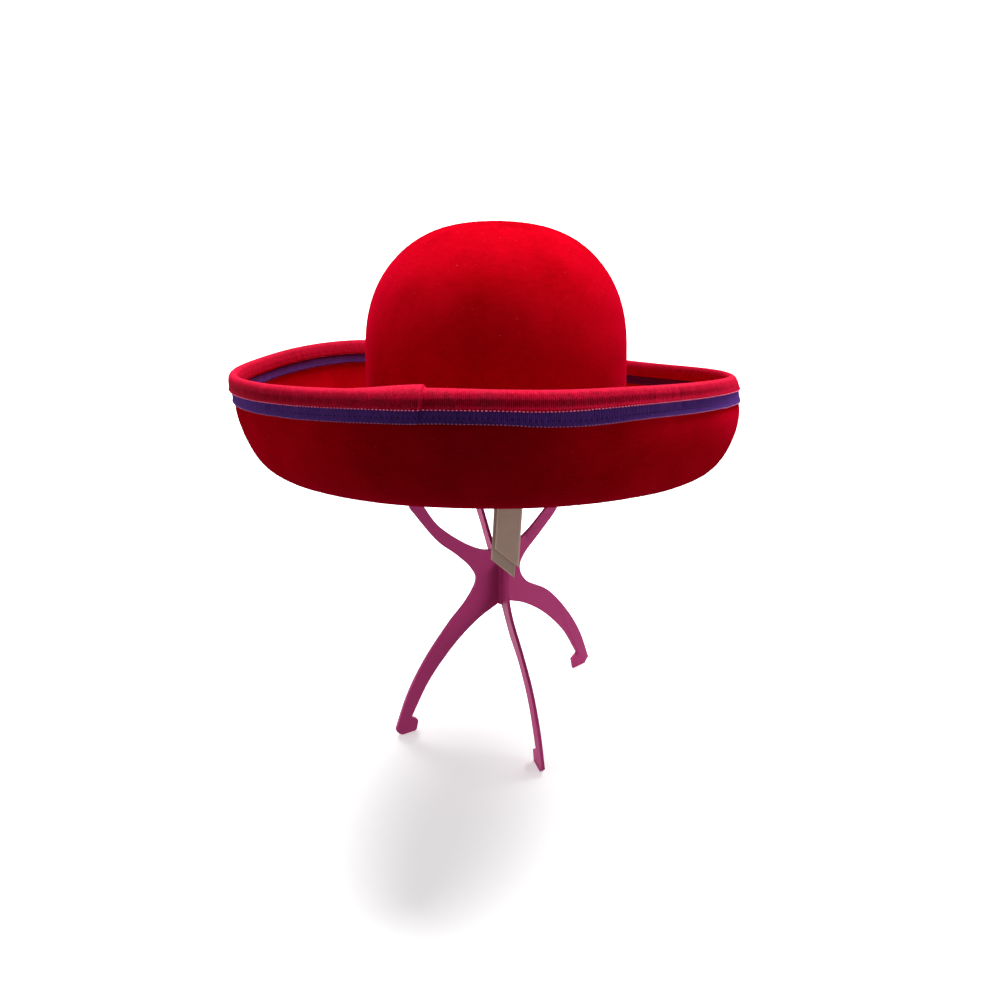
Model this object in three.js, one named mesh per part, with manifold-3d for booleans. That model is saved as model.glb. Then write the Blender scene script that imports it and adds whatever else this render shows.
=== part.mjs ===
// A red felt hat with a rolled brim and a doubled ribbon edge, set on a plain three-leaf stand.
// Millimetres, +Z up. The hat's near side is -Y and its right side is +X.
// The origin is the bottom centre of the whole object.
import * as THREE from 'three';
import Module from 'manifold-3d';
import { LoftGeometry } from 'three/addons/geometries/LoftGeometry.js';
import { mergeVertices } from 'three/addons/utils/BufferGeometryUtils.js';

const { degToRad, smoothstep } = THREE.MathUtils;

// Walls, and the room left between pieces that lie against each other.
const FELT_WALL = 2;
const RIBBON_WALL = 1;
const LEAF_WALL = 2.4;
const GAP = 0.3;

// Head oval, to the middle of the felt wall.
const HEAD_HALF_WIDTH = 84;
const HEAD_HALF_LENGTH = 97.5;

// Crown, with heights above the lowest line of the brim.
const CROWN_HEIGHT = 151;
const DOME_HEIGHT = 85.5;
const DOME_FULLNESS = 2.3; // exponent of the dome's outline: 2 is an ellipse, more is boxier
const HEADLINE_HEIGHT = 20; // where the crown's side starts to bend out into the brim

// Brim: its lowest line lies GUTTER_REACH out from the head oval. In each row, reach is how far the
// edge stands out from the oval, rise is how high it stands, and roll is the angle turned through.
const GUTTER_REACH = 50;
const FLOOR_ROUND = 0.55; // handle length of the bend out of the crown, as a share of its run
const WALL_ROUND = 0.62; // the same for the fuller bend up into the brim's wall
const BRIM_ROWS = [
  { azimuth: 0, reach: 65.2, rise: 54, roll: 107 },
  { azimuth: 45, reach: 66, rise: 49.5, roll: 97 },
  { azimuth: 90, reach: 70.5, rise: 56.5, roll: 86 },
  { azimuth: 135, reach: 74.5, rise: 65, roll: 79 },
  { azimuth: 180, reach: 75, rise: 61, roll: 84 },
  { azimuth: 225, reach: 91.5, rise: 60.5, roll: 86 },
  { azimuth: 270, reach: 89, rise: 63, roll: 95 },
  { azimuth: 315, reach: 72.5, rise: 59.5, roll: 105 },
];

// Ribbons folded over the edge: how far a leg reaches down each side, and where the ribbon's end
// laps over its start (end and run are azimuths in degrees, lift is the extra thickness there).
const PURPLE = { leg: 13.2, lap: { end: 258.3, run: 12, lift: 0.9 } };
const RED = { leg: 6.2, lap: { end: 259.2, run: 15, lift: 1.7 } };
const LAP_STEP = 0.3; // degrees taken by the drop at a lap's end
const FOLD_STEPS = 4;

// Steps of the felt's section and round the hat.
const DOME_STEPS = 10;
const SIDE_STEPS = 2;
const FLOOR_STEPS = 6;
const WALL_STEPS = 6;
const ROUND_STEPS = 48;

// Seat of the hat on the stand: the middle of the head oval at the height of the brim's lowest line,
// from the foot of the stand's axis, and the lean that lifts the near side of the brim.
const HAT_SEAT = new THREE.Vector3(-4, -26.6, 222.6);
const HAT_LEAN = degToRad(13.3);

// Ribbon tab, sewn inside the near side of the head opening. It hangs plumb, a little aslant, to a
// slanting crease, and its end below the crease turns back.
const TAB = {
  across: 9.3,
  width: 17,
  wall: 1,
  sewn: 16,
  hang: 77,
  aslant: degToRad(-3),
  slant: 14.5,
  flap: 10.4,
  turn: degToRad(20),
};

// Stand: flat leaves round an upright hinge barrel. Reach is measured out from the barrel's axis and
// height from the floor. The left and right leaves are a leg and an arm each. The cross leaf is the
// barrel with the near leg and the far arm.
const LEAF_AZIMUTH = {
  left: degToRad(208),
  right: degToRad(37.5),
  nearLeg: degToRad(-71),
  farArm: degToRad(114),
};
const BARREL = { radius: 4, low: 92, high: 138.5, sides: 20 };
const FOOT = { ankle: 77.5, instep: 13.5, toe: 72, tip: 9.5, sole: 74, ball: 86.5, heel: 90.5, rise: 5 };
const ARM_TOP = { middle: 236, start: -21, end: 79, width: 9 };
const LEFT_ARM = { reach: 76.5, rise: 137 }; // rise is above ARM_TOP.middle, up to the crown
const RIGHT_ARM = { reach: 68, rise: 133.6 };
const FAR_ARM = { reach: 70, rise: 133.2 };
const CURVE_STEPS = 6;

// Edges of a side leaf: under the leg, over the leg, outside the arm, inside the arm. Each leaf has a
// waist of its own, which joins the leg's upper edge to the arm's outer edge in one smooth line.
const SIDE_LEAF = {
  legUnder: [
    { reach: 21, height: 83.5 },
    { reach: 41, height: 67 },
    { reach: 62, height: 42 },
  ],
  legOver: [
    { reach: 79.5, height: 34.5 },
    { reach: 64.5, height: 61 },
    { reach: 45, height: 86 },
  ],
  armOutside: [
    { reach: 37, height: 142 },
    { reach: 53, height: 158.5 },
  ],
  armInside: [
    { reach: 51, height: 169.5 },
    { reach: 32.5, height: 151.5 },
    { reach: 16.5, height: 141 },
  ],
};

const LEFT_WAIST = [
  { reach: 30, height: 102 },
  { reach: 22, height: 116.5 },
  { reach: 25.7, height: 128 },
];
const RIGHT_WAIST = [
  { reach: 23.5, height: 102 },
  { reach: 16, height: 116.5 },
  { reach: 21, height: 128 },
];

// Edges of the cross leaf's leg and arm, which are slimmer and start at the barrel.
const NEAR_LEG = {
  under: [
    { reach: 19.5, height: 75.5 },
    { reach: 41, height: 63 },
    { reach: 62, height: 42 },
  ],
  over: [
    { reach: 80.5, height: 30.5 },
    { reach: 64.5, height: 55 },
    { reach: 45, height: 72.5 },
    { reach: 22.5, height: 89 },
    { reach: 13.5, height: 103 },
    { reach: 12, height: 120 },
  ],
  top: 134,
};
const FAR_EDGES = {
  outside: [
    { reach: 20.5, height: 122.5 },
    { reach: 36.5, height: 139.5 },
    { reach: 55, height: 160 },
  ],
  inside: [
    { reach: 49, height: 167.5 },
    { reach: 32.5, height: 149 },
    { reach: 16.5, height: 132.5 },
  ],
  low: 112,
  high: 123.5,
};

const FINISH = {
  felt: { color: 0xa8061c, roughness: 0.95, metalness: 0 },
  redRibbon: { color: 0xd0123c, roughness: 0.7, metalness: 0 },
  purpleRibbon: { color: 0x4b2a78, roughness: 0.7, metalness: 0 },
  tab: { color: 0xb8a694, roughness: 0.85, metalness: 0 },
  stand: { color: 0xb1478a, roughness: 0.4, metalness: 0 },
};

// Azimuths of the sections round the hat, in degrees, with two close ones at each lap's end.
function roundAzimuths() {
  const azimuths = [];
  for (let step = 0; step < ROUND_STEPS; step += 1) {
    azimuths.push((step * 360) / ROUND_STEPS);
  }
  for (const { lap } of [PURPLE, RED]) {
    azimuths.push(lap.end, lap.end + LAP_STEP);
  }
  return azimuths.sort((a, b) => a - b);
}

// A column of the brim rows at any azimuth, on a smooth closed curve through the rows.
function brimSize(column, azimuth) {
  const count = BRIM_ROWS.length;
  const place = (azimuth / 360) * count;
  const row = Math.floor(place);
  const share = place - row;
  const value = (step) => BRIM_ROWS[(row + step + count) % count][column];
  const [before, from, to, after] = [-1, 0, 1, 2].map(value);
  const slope = to - before;
  const bend = 2 * before - 5 * from + 4 * to - after;
  const twist = 3 * (from - to) + after - before;
  return from + 0.5 * share * (slope + share * (bend + share * twist));
}

// Half of the crown's dome in section, from its top down to the crown's side.
class CrownDome extends THREE.Curve {
  getPoint(t, target = new THREE.Vector2()) {
    const angle = ((1 - t) * Math.PI) / 2;
    const power = 2 / DOME_FULLNESS;
    const inward = 1 - Math.cos(angle) ** power;
    const down = 1 - Math.sin(angle) ** power;
    return target.set(-HEAD_HALF_WIDTH * inward, CROWN_HEIGHT - DOME_HEIGHT * down);
  }
}

// The brim's rolled wall in section, from its lowest line up to the edge.
function brimWall(azimuth) {
  const reach = brimSize('reach', azimuth);
  const rise = brimSize('rise', azimuth);
  const roll = degToRad(brimSize('roll', azimuth));
  const handle = WALL_ROUND * rise;
  return new THREE.CubicBezierCurve(
    new THREE.Vector2(GUTTER_REACH, 0),
    new THREE.Vector2(GUTTER_REACH + WALL_ROUND * (reach - GUTTER_REACH), 0),
    new THREE.Vector2(reach - handle * Math.cos(roll), rise - handle * Math.sin(roll)),
    new THREE.Vector2(reach, rise),
  );
}

// A point of a section's middle line, with the directions along the line and out of its upper side.
function station(point, along) {
  return { point, along, normal: new THREE.Vector2(-along.y, along.x) };
}

// Stations of the brim's wall at the given distances below its edge.
function wallStations(wall, distances) {
  const length = wall.getLength();
  return distances.map((distance) => {
    const share = Math.max(0, 1 - distance / length);
    return station(wall.getPointAt(share), wall.getTangentAt(share));
  });
}

// Distances below the edge at which a ribbon's leg has a station, from its end up to the edge.
function legDistances(leg) {
  return [PURPLE.leg, RED.leg, RED.leg / 2, 0].filter((distance) => distance <= leg);
}

// Middle line of the felt in section, from the crown's top to the brim's edge.
function feltLine(azimuth) {
  const side = new THREE.LineCurve(
    new THREE.Vector2(0, CROWN_HEIGHT - DOME_HEIGHT),
    new THREE.Vector2(0, HEADLINE_HEIGHT),
  );
  const floor = new THREE.CubicBezierCurve(
    new THREE.Vector2(0, HEADLINE_HEIGHT),
    new THREE.Vector2(0, HEADLINE_HEIGHT * (1 - FLOOR_ROUND)),
    new THREE.Vector2(GUTTER_REACH * (1 - FLOOR_ROUND), 0),
    new THREE.Vector2(GUTTER_REACH, 0),
  );
  const stretches = [
    { curve: new CrownDome(), steps: DOME_STEPS },
    { curve: side, steps: SIDE_STEPS },
    { curve: floor, steps: FLOOR_STEPS },
  ];
  const line = [];
  for (const { curve, steps } of stretches) {
    for (let step = 0; step < steps; step += 1) {
      line.push(station(curve.getPoint(step / steps), curve.getTangent(step / steps)));
    }
  }
  const wall = brimWall(azimuth);
  const bare = wall.getLength() - PURPLE.leg;
  const distances = [];
  for (let step = 0; step < WALL_STEPS; step += 1) {
    distances.push(PURPLE.leg + bare * (1 - step / WALL_STEPS));
  }
  return line.concat(wallStations(wall, [...distances, ...legDistances(PURPLE.leg)]));
}

// A section's point, out from the head oval and up, set at its azimuth round the oval.
function onOval(point, azimuth) {
  const across = HEAD_HALF_WIDTH + point.x;
  const lengthening = (HEAD_HALF_LENGTH - HEAD_HALF_WIDTH) * Math.min(1, across / HEAD_HALF_WIDTH);
  const angle = degToRad(azimuth);
  return new THREE.Vector3(across * Math.cos(angle), (across + lengthening) * Math.sin(angle), point.y);
}

function offset({ point, normal }, distance) {
  return point.clone().addScaledVector(normal, distance);
}

// Closed ring of sections, one at each azimuth.
function ring(section, options) {
  const sections = roundAzimuths().map((azimuth) => section(azimuth).map((point) => onOval(point, azimuth)));
  return new LoftGeometry([...sections, sections[0]], options);
}

// Felt wall: along the upper side from the crown's top to the edge, and back along the lower side.
function feltBody() {
  const section = (azimuth) => {
    const line = feltLine(azimuth);
    const upper = line.map((place) => offset(place, FELT_WALL / 2));
    const lower = line.map((place) => offset(place, -FELT_WALL / 2));
    return [...upper, ...lower.reverse()];
  };
  return ring(section, { closed: false });
}

// Extra thickness where a ribbon's end lies over its start.
function lapLift({ end, run, lift }, azimuth) {
  return azimuth > end ? 0 : lift * smoothstep(azimuth, end - run, end);
}

// Distances of the ribbons' faces from the middle of the felt.
const purpleInside = () => FELT_WALL / 2 + GAP;
const purpleOutside = (azimuth) => purpleInside() + RIBBON_WALL + lapLift(PURPLE.lap, azimuth);
const redInside = (azimuth) => purpleOutside(azimuth) + GAP;
const redOutside = (azimuth) => purpleInside() + 2 * RIBBON_WALL + GAP + lapLift(RED.lap, azimuth);

// One face of a folded ribbon: up the inner leg, round the edge and down the outer leg.
function foldedFace(stations, distance) {
  const edge = stations[stations.length - 1];
  const inner = stations.map((place) => offset(place, distance));
  const outer = stations.map((place) => offset(place, -distance)).reverse();
  const fold = [];
  for (let step = 1; step < FOLD_STEPS; step += 1) {
    const angle = (step / FOLD_STEPS) * Math.PI;
    const point = offset(edge, distance * Math.cos(angle));
    fold.push(point.addScaledVector(edge.along, distance * Math.sin(angle)));
  }
  return [...inner, ...fold, ...outer];
}

function foldedRibbon({ leg }, inside, outside) {
  const section = (azimuth) => {
    const stations = wallStations(brimWall(azimuth), legDistances(leg));
    return [
      ...foldedFace(stations, outside(azimuth)),
      ...foldedFace(stations, inside(azimuth)).reverse(),
    ];
  };
  return ring(section, { closed: true });
}

// The tab, in the leaning hat's own frame: rows across it, lofted from its sewn end to its flap.
function hangingTab() {
  const sideways = new THREE.Vector3(1, 0, 0);
  const down = new THREE.Vector3(Math.tan(TAB.aslant), 0, -1).applyAxisAngle(sideways, HAT_LEAN);
  const turned = down.clone().applyAxisAngle(sideways, TAB.turn);
  const farEdge = (TAB.across + TAB.width / 2) / HEAD_HALF_WIDTH;
  const wallMiddle = HEAD_HALF_LENGTH * Math.sqrt(1 - farEdge ** 2);
  const wallFace = FELT_WALL / 2 + 2 * GAP - wallMiddle;
  const start = new THREE.Vector3(TAB.across, wallFace, HEADLINE_HEIGHT + TAB.sewn);
  const sewnEnd = start.clone().setZ(HEADLINE_HEIGHT);
  const edge = (side) => {
    const crease = sewnEnd.clone().addScaledVector(down, TAB.hang - (side < 0 ? TAB.slant : 0));
    const end = crease.clone().addScaledVector(turned, TAB.flap);
    return [start, sewnEnd, crease, end].map((point) => point.clone().addScaledVector(sideways, side));
  };
  const left = edge(-TAB.width / 2);
  const right = edge(TAB.width / 2);
  const back = new THREE.Vector3(0, TAB.wall, 0);
  const rows = left.map((point, row) => [
    point,
    point.clone().add(back),
    right[row].clone().add(back),
    right[row],
  ]);
  return new LoftGeometry(rows, { capStart: true, capEnd: true });
}

const corner = ({ reach, height }) => new THREE.Vector2(reach, height);

// Adds the upper stretch of an arm to an outline: out over the top, across the tip and back inside.
function addArmTop(outline, { reach, rise }) {
  const { middle, start, end, width } = ARM_TOP;
  const [low, high] = [degToRad(start), degToRad(end)];
  outline.absellipse(0, middle, reach, rise, low, high, false);
  outline.absellipse(0, middle, reach - width, rise - width, high, low, true);
}

// Adds a foot to an outline: from the instep round the hooked toe and the flat sole to the heel.
function addFoot(outline) {
  outline.lineTo(FOOT.toe, FOOT.tip);
  outline.lineTo(FOOT.sole, 0);
  outline.lineTo(FOOT.ball, 0);
  outline.lineTo(FOOT.heel, FOOT.rise);
}

const armStart = ({ reach, rise }) => ({
  reach: reach * Math.cos(degToRad(ARM_TOP.start)),
  height: ARM_TOP.middle + rise * Math.sin(degToRad(ARM_TOP.start)),
});
const instep = { reach: FOOT.ankle, height: FOOT.instep };

function plate(outline) {
  const geometry = new THREE.ExtrudeGeometry(outline, {
    depth: LEAF_WALL,
    bevelEnabled: false,
    curveSegments: CURVE_STEPS,
  });
  return geometry.translate(0, 0, -LEAF_WALL / 2).rotateX(Math.PI / 2);
}

// Side leaf: a leg and an arm, from the gap at the barrel.
function sideLeaf(arm, waist) {
  const root = BARREL.radius + GAP;
  const outline = new THREE.Shape();
  outline.moveTo(root, BARREL.low);
  outline.splineThru([...SIDE_LEAF.legUnder, instep].map(corner));
  addFoot(outline);
  const outerEdge = [...SIDE_LEAF.legOver, ...waist, ...SIDE_LEAF.armOutside, armStart(arm)];
  outline.splineThru(outerEdge.map(corner));
  addArmTop(outline, arm);
  outline.splineThru([...SIDE_LEAF.armInside, { reach: root, height: BARREL.high }].map(corner));
  outline.closePath();
  return plate(outline);
}

function nearLeg() {
  const outline = new THREE.Shape();
  outline.moveTo(0, BARREL.low);
  outline.splineThru([...NEAR_LEG.under, instep].map(corner));
  addFoot(outline);
  outline.splineThru([...NEAR_LEG.over, { reach: 0, height: NEAR_LEG.top }].map(corner));
  outline.closePath();
  return plate(outline);
}

function farArm() {
  const outline = new THREE.Shape();
  outline.moveTo(0, FAR_EDGES.low);
  outline.splineThru([...FAR_EDGES.outside, armStart(FAR_ARM)].map(corner));
  addArmTop(outline, FAR_ARM);
  outline.splineThru([...FAR_EDGES.inside, { reach: 0, height: FAR_EDGES.high }].map(corner));
  outline.closePath();
  return plate(outline);
}

function barrel() {
  const { radius, low, high, sides } = BARREL;
  const geometry = new THREE.CylinderGeometry(radius, radius, high - low, sides);
  return geometry.rotateX(Math.PI / 2).translate(0, 0, (low + high) / 2);
}

const wasm = await Module();
wasm.setup();

// A closed geometry as a solid that can be joined to others.
function solid(geometry) {
  geometry.deleteAttribute('normal');
  geometry.deleteAttribute('uv');
  const merged = mergeVertices(geometry);
  const vertProperties = Float32Array.from(merged.attributes.position.array);
  const triVerts = Uint32Array.from(merged.index.array);
  return new wasm.Manifold(new wasm.Mesh({ numProp: 3, vertProperties, triVerts }));
}

// Cross leaf: barrel, near leg and far arm, joined into one body.
function crossLeaf() {
  const leg = nearLeg().rotateZ(LEAF_AZIMUTH.nearLeg);
  const arm = farArm().rotateZ(LEAF_AZIMUTH.farArm);
  const joined = solid(barrel()).add(solid(leg)).add(solid(arm)).getMesh();
  const geometry = new THREE.BufferGeometry();
  geometry.setAttribute('position', new THREE.BufferAttribute(joined.vertProperties, joined.numProp));
  geometry.setIndex(new THREE.BufferAttribute(joined.triVerts, 1));
  geometry.computeVertexNormals();
  return geometry;
}

function piece(name, geometry, finish) {
  const mesh = new THREE.Mesh(geometry, new THREE.MeshStandardMaterial(finish));
  mesh.name = name;
  return mesh;
}

const hat = new THREE.Group();
hat.add(
  piece('felt_body', feltBody(), FINISH.felt),
  piece('purple_band', foldedRibbon(PURPLE, purpleInside, purpleOutside), FINISH.purpleRibbon),
  piece('red_binding', foldedRibbon(RED, redInside, redOutside), FINISH.redRibbon),
  piece('hanging_tab', hangingTab(), FINISH.tab),
);
hat.position.copy(HAT_SEAT);
hat.rotation.x = -HAT_LEAN;

const leftLeaf = piece('stand_left_leaf', sideLeaf(LEFT_ARM, LEFT_WAIST), FINISH.stand);
leftLeaf.rotation.z = LEAF_AZIMUTH.left;
const rightLeaf = piece('stand_right_leaf', sideLeaf(RIGHT_ARM, RIGHT_WAIST), FINISH.stand);
rightLeaf.rotation.z = LEAF_AZIMUTH.right;
const stand = new THREE.Group();
stand.add(leftLeaf, rightLeaf, piece('stand_cross_leaf', crossLeaf(), FINISH.stand));

// The bottom centre of the whole object goes to the origin.
const hatOnStand = new THREE.Group();
hatOnStand.add(hat, stand);
const box = new THREE.Box3().setFromObject(hatOnStand, true);
const centre = box.getCenter(new THREE.Vector3());
hatOnStand.position.set(-centre.x, -centre.y, -box.min.z);

export default hatOnStand;
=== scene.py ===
# %% [markdown]
# A felt hat with a rolled brim rests on a plain folding stand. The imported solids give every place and
# size, so they are loaded first and stay where they are. Each piece that the camera sees is then made
# again with its real surface: nap on the felt, ribs on the ribbons, rounded edges on the plastic.

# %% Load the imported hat
import math
import random
from functools import lru_cache

import bmesh
import bpy
from mathutils import Matrix, Vector, noise
from mathutils.geometry import interpolate_bezier


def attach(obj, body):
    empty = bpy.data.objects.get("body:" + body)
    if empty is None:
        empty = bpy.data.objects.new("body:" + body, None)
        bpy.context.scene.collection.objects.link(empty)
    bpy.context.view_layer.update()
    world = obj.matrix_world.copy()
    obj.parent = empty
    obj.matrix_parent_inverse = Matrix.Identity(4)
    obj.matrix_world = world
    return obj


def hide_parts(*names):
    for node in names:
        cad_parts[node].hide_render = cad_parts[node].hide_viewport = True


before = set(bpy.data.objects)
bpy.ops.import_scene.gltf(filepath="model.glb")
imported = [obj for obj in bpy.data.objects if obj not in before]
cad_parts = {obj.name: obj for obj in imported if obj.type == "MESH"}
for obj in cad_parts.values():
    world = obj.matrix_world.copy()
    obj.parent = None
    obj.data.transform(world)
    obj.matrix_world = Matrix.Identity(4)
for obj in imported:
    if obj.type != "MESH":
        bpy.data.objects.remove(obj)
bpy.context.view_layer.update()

MM = 0.001

# %% [markdown]
# Every piece ends the same way: its mesh goes into an object at the origin, the object rides on the one
# body of this part and takes its finish, and the solid that it stands for is hidden. One helper does it,
# so that no piece forgets a step.

# %% A helper that shows a finished piece
def mesh_of(shape, name):
    mesh = bpy.data.meshes.new(name)
    shape.to_mesh(mesh)
    shape.free()
    return mesh


def show(shape, name, material, node=None):
    for face in shape.faces:
        face.smooth = True
    mesh = mesh_of(shape, name)
    mesh.materials.append(material)
    piece = bpy.data.objects.new(name, mesh)
    bpy.context.scene.collection.objects.link(piece)
    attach(piece, "root")
    if node:
        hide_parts(node)
    print(name, "has", len(mesh.polygons), "faces")
    return piece


# %% [markdown]
# A procedural finish is arithmetic on patterns. A node editor draws that arithmetic as boxes and wires.
# Here one small class stands for a wire, so that a formula such as 1 - mask writes its own Math node, and
# one method adds any other node.

# %% A wire between shader nodes
class Wire:
    def __init__(self, tree, socket=None):
        self.tree = tree
        self.socket = socket

    def node(self, kind, settings=None, inputs=None, output=0):
        node = self.tree.nodes.new(kind)
        for name, value in (settings or {}).items():
            setattr(node, name, value)
        for name, value in (inputs or {}).items():
            if isinstance(value, Wire):
                self.tree.links.new(value.socket, node.inputs[name])
            else:
                node.inputs[name].default_value = value
        return Wire(self.tree, node.outputs[output] if len(node.outputs) else None)

    def maths(self, operation, first, second=0.0):
        return self.node("ShaderNodeMath", {"operation": operation}, {0: first, 1: second})

    def __add__(self, other):
        return self.maths("ADD", self, other)

    def __sub__(self, other):
        return self.maths("SUBTRACT", self, other)

    def __mul__(self, other):
        return self.maths("MULTIPLY", self, other)

    def __rsub__(self, other):
        return self.maths("SUBTRACT", other, self)

    __radd__ = __add__
    __rmul__ = __mul__

    def wave(self):
        """A sine of the value, brought from -1 and 1 to 0 and 1."""
        return self.maths("SINE", self) * 0.5 + 0.5

    def limited(self):
        return self.node("ShaderNodeClamp", None, {"Value": self})

    def sharpened(self, strength):
        return ((self - 0.5) * strength + 0.5).limited()

    def blend(self, first, second):
        return self.node("ShaderNodeMix", {"data_type": "RGBA"}, {0: self, 6: first, 7: second}, 2)


# %% [markdown]
# Three more helpers cover what the finishes share: an empty material with its place on the object, a noise
# pattern that is given by the size of its grains rather than by a scale number, and the closing shader with
# its bump.

# %% Start, pattern and finish of a material
def start_material(name):
    material = bpy.data.materials.new(name)
    material.use_nodes = True
    material.node_tree.nodes.clear()
    wires = Wire(material.node_tree)
    return material, wires, wires.node("ShaderNodeTexCoord", None, None, "Object")


def grains(wires, place, size, detail=2.0, roughness=0.5):
    settings = {"noise_dimensions": "3D"}
    inputs = {"Vector": place, "Scale": 1 / size, "Detail": detail, "Roughness": roughness}
    return wires.node("ShaderNodeTexNoise", settings, inputs)


def finish_material(wires, colour, roughness, height, depth, **constants):
    bump = wires.node("ShaderNodeBump", None, {"Height": height, "Distance": depth, "Strength": 1.0})
    inputs = {"Base Color": colour, "Roughness": roughness, "Normal": bump}
    inputs.update({name.replace("_", " "): value for name, value in constants.items()})
    shader = wires.node("ShaderNodeBsdfPrincipled", None, inputs)
    wires.node("ShaderNodeOutputMaterial", None, {"Surface": shader})


# %% [markdown]
# Wool felt is a mat of crimped fibres pressed together without a weave. From further off its dye is a
# little cloudy, nearer by the fibres lie in short level streaks, and close up it is a fine grain. A noise
# pattern gives each of the three, and a fourth leaves a few pale specks of lint. A picture of felt could
# be wrapped on instead, but noise needs no seam on a dome. The shader's sheen gives the nap its velvety edge.

# %% Red felt
FELT_RED = (0.46, 0.0007, 0.007, 1)
FELT_DEEP_RED = (0.31, 0.0003, 0.002, 1)
FELT_LINT = (0.60, 0.07, 0.10, 1)
FELT_SHEEN = (1.0, 0.004, 0.07, 1)
CLOUD_SIZE = 26 * MM
FIBRE_STREAK = 6 * MM
FIBRE_LAY = (1, 1, 3.5)
FELT_GRAIN = 0.9 * MM
LINT_SIZE = 1.3 * MM
LINT_LEVEL = 0.75
NAP_DEPTH = 0.16 * MM


def felt_material(name):
    material, wires, place = start_material(name)
    clouds = grains(wires, place, CLOUD_SIZE, 3)
    grain = grains(wires, place, FELT_GRAIN, 5, 0.65)
    lay = wires.node("ShaderNodeMapping", None, {"Vector": place, "Scale": FIBRE_LAY})
    streaks = grains(wires, lay, FIBRE_STREAK, 5, 0.75)
    shade = ((clouds - 0.5) * 1.5 + (streaks - 0.5) * 1.4 + 0.28 + grain * 0.45).limited()
    lint = ((grains(wires, place, LINT_SIZE, 1) - LINT_LEVEL) * 20).limited() * 0.5
    colour = lint.blend(shade.blend(FELT_DEEP_RED, FELT_RED), FELT_LINT)
    finish_material(
        wires, colour, 0.95, grain * 0.7 + streaks * 0.3, NAP_DEPTH,
        Sheen_Weight=0.3, Sheen_Roughness=0.4, Sheen_Tint=FELT_SHEEN, Specular_IOR_Level=0.0,
    )
    return material


red_felt = felt_material("red_felt")
print("made", red_felt.name)

# %% [markdown]
# A felt hat is made by pressing one round sheet over a block. The block's shape is a section line: the
# dome, the straight side, and the bend out into the brim are the same all round, and the rolled wall of
# the brim changes. It rises more steeply on the right than on the left, so its reach, rise and roll are
# read from a short table with one column for each eighth of the way round.

# %% Sizes of the hat block
FELT_WALL = 2 * MM
HEAD_HALF_WIDTH = 84 * MM
HEAD_HALF_LENGTH = 97.5 * MM
CROWN_HEIGHT = 151 * MM
DOME_HEIGHT = 85.5 * MM
DOME_FULLNESS = 2.4
HEADLINE_HEIGHT = 20 * MM
GUTTER_REACH = 50 * MM
ROUND_HANDLE = 0.55
WALL_ROUND = 0.62
BRIM = {
    "reach": (65.2, 66, 70.5, 74.5, 75, 91.5, 89, 72.5),
    "rise": (54, 49.5, 56.5, 65, 61, 60.5, 63, 59.5),
    "roll": (107, 97, 86, 79, 84, 86, 95, 105),
}
HAT_SEAT = Vector((4.465, -3.581, 222.6)) * MM
HAT_LEAN = math.radians(13.3)
HAT_PLACE = Matrix.Translation(HAT_SEAT) @ Matrix.Rotation(-HAT_LEAN, 4, "X")
head_opening = [round((2 * half - FELT_WALL) / MM) for half in (HEAD_HALF_WIDTH, HEAD_HALF_LENGTH)]
print("head opening in mm:", head_opening)

# %% [markdown]
# A value between two columns of the table comes from a closed Catmull-Rom curve, which passes smoothly
# through all eight. A section line is kept as points with the length up to each, because ribbons and
# rings are laid off by distance along the felt. On the near right the soft rim sags a little, and a bell
# curve round the hat takes that off its rise.

# %% Section lines of the block
RIM_DIP = 0.6 * MM
RIM_DIP_AT = 281
RIM_DIP_RUN = 10
CURVE_POINTS = 32
DOME_STEPS = 48


class Line:
    def __init__(self, points):
        self.points = points
        self.lengths = [0.0]
        for start, end in zip(points, points[1:]):
            self.lengths.append(self.lengths[-1] + (end - start).length)
        self.length = self.lengths[-1]

    def at(self, length):
        step = 1
        while step < len(self.points) - 1 and self.lengths[step] < length:
            step += 1
        start, end = self.points[step - 1], self.points[step]
        share = (length - self.lengths[step - 1]) / (end - start).length
        return start.lerp(end, share), (end - start).normalized()


def brim_size(column, azimuth):
    values = BRIM[column]
    place = azimuth / 360 * len(values)
    row = math.floor(place)
    share = place - row
    before, first, last, after = [values[(row + step) % len(values)] for step in (-1, 0, 1, 2)]
    bend = 2 * before - 5 * first + 4 * last - after
    twist = 3 * (first - last) + after - before
    return first + 0.5 * share * (last - before + share * (bend + share * twist))


def bell(azimuth, middle, run):
    return math.exp(-((azimuth - middle) / run) ** 2)


@lru_cache(maxsize=None)
def wall_line(azimuth):
    reach = brim_size("reach", azimuth) * MM
    rise = brim_size("rise", azimuth) * MM - RIM_DIP * bell(azimuth, RIM_DIP_AT, RIM_DIP_RUN)
    roll = math.radians(brim_size("roll", azimuth))
    gutter, edge = Vector((GUTTER_REACH, 0)), Vector((reach, rise))
    floor_handle = Vector((GUTTER_REACH + WALL_ROUND * (reach - GUTTER_REACH), 0))
    edge_handle = edge - WALL_ROUND * rise * Vector((math.cos(roll), math.sin(roll)))
    return Line(interpolate_bezier(gutter, floor_handle, edge_handle, edge, CURVE_POINTS))


def crown_line():
    power = 2 / DOME_FULLNESS
    dome = []
    for step in range(DOME_STEPS):
        angle = (1 - step / DOME_STEPS) * math.pi / 2
        inward = HEAD_HALF_WIDTH * (1 - math.cos(angle) ** power)
        dome.append(Vector((-inward, CROWN_HEIGHT - DOME_HEIGHT * (1 - math.sin(angle) ** power))))
    side = [Vector((0, CROWN_HEIGHT - DOME_HEIGHT))]
    headline = Vector((0, HEADLINE_HEIGHT))
    gutter = Vector((GUTTER_REACH, 0))
    handles = headline * (1 - ROUND_HANDLE), gutter * (1 - ROUND_HANDLE)
    return Line(dome + side + interpolate_bezier(headline, *handles, gutter, CURVE_POINTS))


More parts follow.
